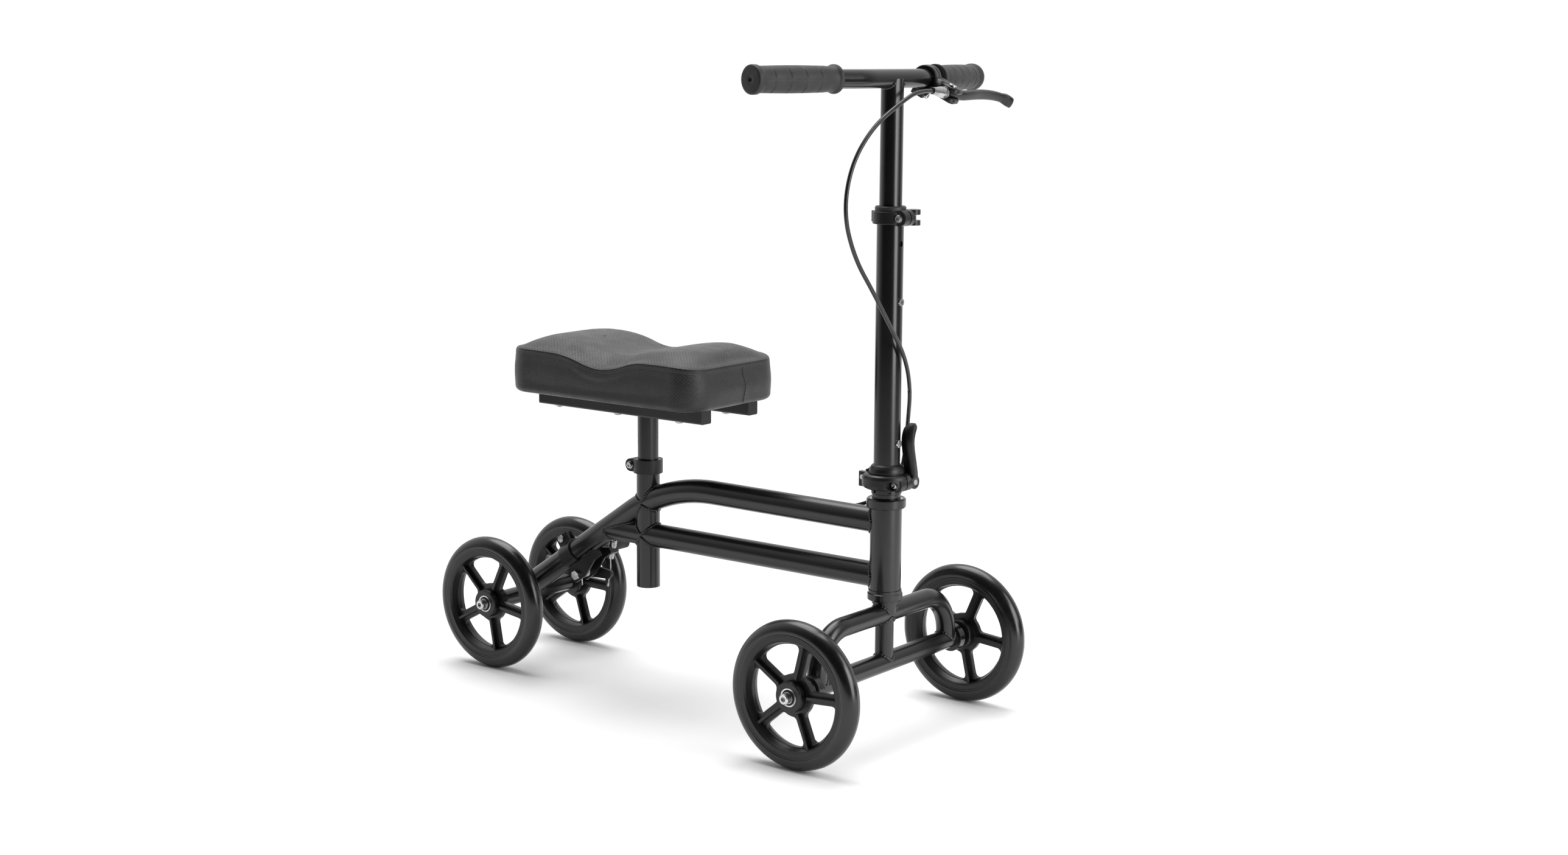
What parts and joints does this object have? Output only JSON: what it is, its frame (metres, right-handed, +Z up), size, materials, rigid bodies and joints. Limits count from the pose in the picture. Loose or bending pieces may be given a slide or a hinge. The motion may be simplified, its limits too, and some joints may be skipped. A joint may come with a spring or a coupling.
{
  "type": "knee scooter",
  "caption": "Steerable knee scooter with a saddle-shaped padded knee rest, folding height-adjustable column with handlebar, hand brake with cable, and a bent tube frame on solid wheels.",
  "frame": {"origin": "on the floor, midway between the outermost points of the footprint along and across", "axes": "+X forward in the riding direction, +Y to the rider's left, +Z up"},
  "size_m": [0.76, 0.4591, 0.8087],
  "materials": {
    "frame_paint": "satin black powder coat",
    "cast_black": "semi-gloss black on cast metal",
    "silver_hardware": "bright zinc",
    "silver_adjuster": "satin",
    "rim_plastic": "fine-grained black nylon",
    "tyre_rubber": "smooth black polyurethane, soft gloss",
    "grip_rubber": "matte black",
    "brake_rubber": "matte black",
    "black_plastic": "matte black",
    "cable_sheath": "smooth black sheath",
    "pad_leatherette": "perforated black leatherette",
    "board": "dark sealed plywood"
  },
  "bodies": {
    "frame": {"head_tube": "frame_paint", "top_tube": "frame_paint", "lower_tube": "frame_paint", "seat_tube": "frame_paint", "rear_axle_tube": "frame_paint", "headset_cups": "frame_paint", "headset_bearings": "silver_hardware", "seat_clamp": "cast_black", "seat_clamp_bolt": "silver_hardware", "brake_bracket": "cast_black", "brake_bolts": "silver_hardware", "cable_stop": "silver_adjuster", "rear_axle_bolts": "silver_hardware", "brake_cable": "cable_sheath"},
    "fork": {"steerer_tube": "frame_paint", "fork_strut": "frame_paint", "fork_arch": "frame_paint", "fork_cross_tube": "frame_paint", "front_axle_bolts": "silver_hardware", "headset_nuts": "frame_paint", "fold_collar": "cast_black", "fold_bolts": "silver_hardware"},
    "column": {"column_tube": "frame_paint", "fold_foot": "cast_black", "height_clamp": "cast_black", "height_clamp_bolt": "silver_hardware", "stem_bushing": "black_plastic", "column_screws": "silver_hardware"},
    "stem": {"stem_tube": "frame_paint", "handlebar": "frame_paint", "left_grip": "grip_rubber", "right_grip": "grip_rubber", "brake_perch": "cast_black", "perch_screws": "silver_hardware", "cable_adjuster": "silver_adjuster"},
    "brake_lever": {"brake_lever": "cast_black"},
    "fold_lever": {"fold_lever": "cast_black"},
    "height_lever": {"height_lever": "cast_black"},
    "seat_clamp_lever": {"seat_clamp_lever": "cast_black"},
    "knee_rest": {"seat_post": "frame_paint", "pad_rails": "frame_paint", "rail_bolts": "silver_hardware", "pad_board": "board", "knee_pad": "pad_leatherette"},
    "brake_arm": {"brake_arm": "cast_black", "brake_shoe": "brake_rubber", "brake_return_spring": "silver_hardware"},
    "front_right_wheel": {"front_right_rim": "rim_plastic", "front_right_tyre": "tyre_rubber", "front_right_bearings": "silver_hardware"},
    "front_left_wheel": {"front_left_rim": "rim_plastic", "front_left_tyre": "tyre_rubber", "front_left_bearings": "silver_hardware"},
    "rear_right_wheel": {"rear_right_rim": "rim_plastic", "rear_right_tyre": "tyre_rubber", "rear_right_bearings": "silver_hardware"},
    "rear_left_wheel": {"rear_left_rim": "rim_plastic", "rear_left_tyre": "tyre_rubber", "rear_left_bearings": "silver_hardware"}
  },
  "joints": [
    {"name": "steer", "type": "hinge", "parent": "frame", "child": "fork", "pos_m": [0.289, 0, 0.232], "axis": [0, 0, 1], "range_deg": [-45, 45]},
    {"name": "column_fold", "type": "hinge", "parent": "fork", "child": "column", "pos_m": [0.2615, 0, 0.3175], "axis": [0, 1, 0], "range_deg": [-50, 0]},
    {"name": "stem_height", "type": "slide", "parent": "column", "child": "stem", "axis": [0, 0, 1], "range_m": [-0.011, 0.23], "deforming": ["brake_cable"]},
    {"name": "brake_squeeze", "type": "hinge", "parent": "stem", "child": "brake_lever", "pos_m": [0.31752, 0.07741, 0.7751], "axis": [0.4602, 0.0926, 0.8829], "range_deg": [0, 12], "stiffness_Nm_per_rad": 1},
    {"name": "brake_arm_swing", "type": "hinge", "parent": "frame", "child": "brake_arm", "pos_m": [-0.20405, 0, 0.12621], "axis": [0, -1, 0], "range_deg": [0, 8]},
    {"name": "height_lever_swing", "type": "hinge", "parent": "column", "child": "height_lever", "pos_m": [0.3095, 0.018, 0.6305], "axis": [0, 0, -1], "range_deg": [0, 150]},
    {"name": "fold_lever_swing", "type": "hinge", "parent": "fork", "child": "fold_lever", "pos_m": [0.3095, 0.0215, 0.3125], "axis": [-1, 0, 0], "range_deg": [0, 150]},
    {"name": "seat_lever_swing", "type": "hinge", "parent": "frame", "child": "seat_clamp_lever", "pos_m": [-0.1085, 0.018, 0.288], "axis": [1, 0, 0], "range_deg": [0, 150]},
    {"name": "knee_rest_height", "type": "slide", "parent": "frame", "child": "knee_rest", "axis": [0, 0, 1], "range_m": [-0.015, 0.15]},
    {"name": "front_right_spin", "type": "hinge", "parent": "fork", "child": "front_right_wheel", "pos_m": [0.289, -0.1795, 0.089], "axis": [0, 1, 0], "continuous": true},
    {"name": "front_left_spin", "type": "hinge", "parent": "fork", "child": "front_left_wheel", "pos_m": [0.289, 0.1795, 0.089], "axis": [0, 1, 0], "continuous": true},
    {"name": "rear_right_spin", "type": "hinge", "parent": "frame", "child": "rear_right_wheel", "pos_m": [-0.293, -0.084, 0.089], "axis": [0, 1, 0], "continuous": true},
    {"name": "rear_left_spin", "type": "hinge", "parent": "frame", "child": "rear_left_wheel", "pos_m": [-0.293, 0.084, 0.089], "axis": [0, 1, 0], "continuous": true}
  ],
  "couplings": [
    {"joint": "brake_arm_swing", "follows": "brake_squeeze", "ratio": 0.66667}
  ]
}
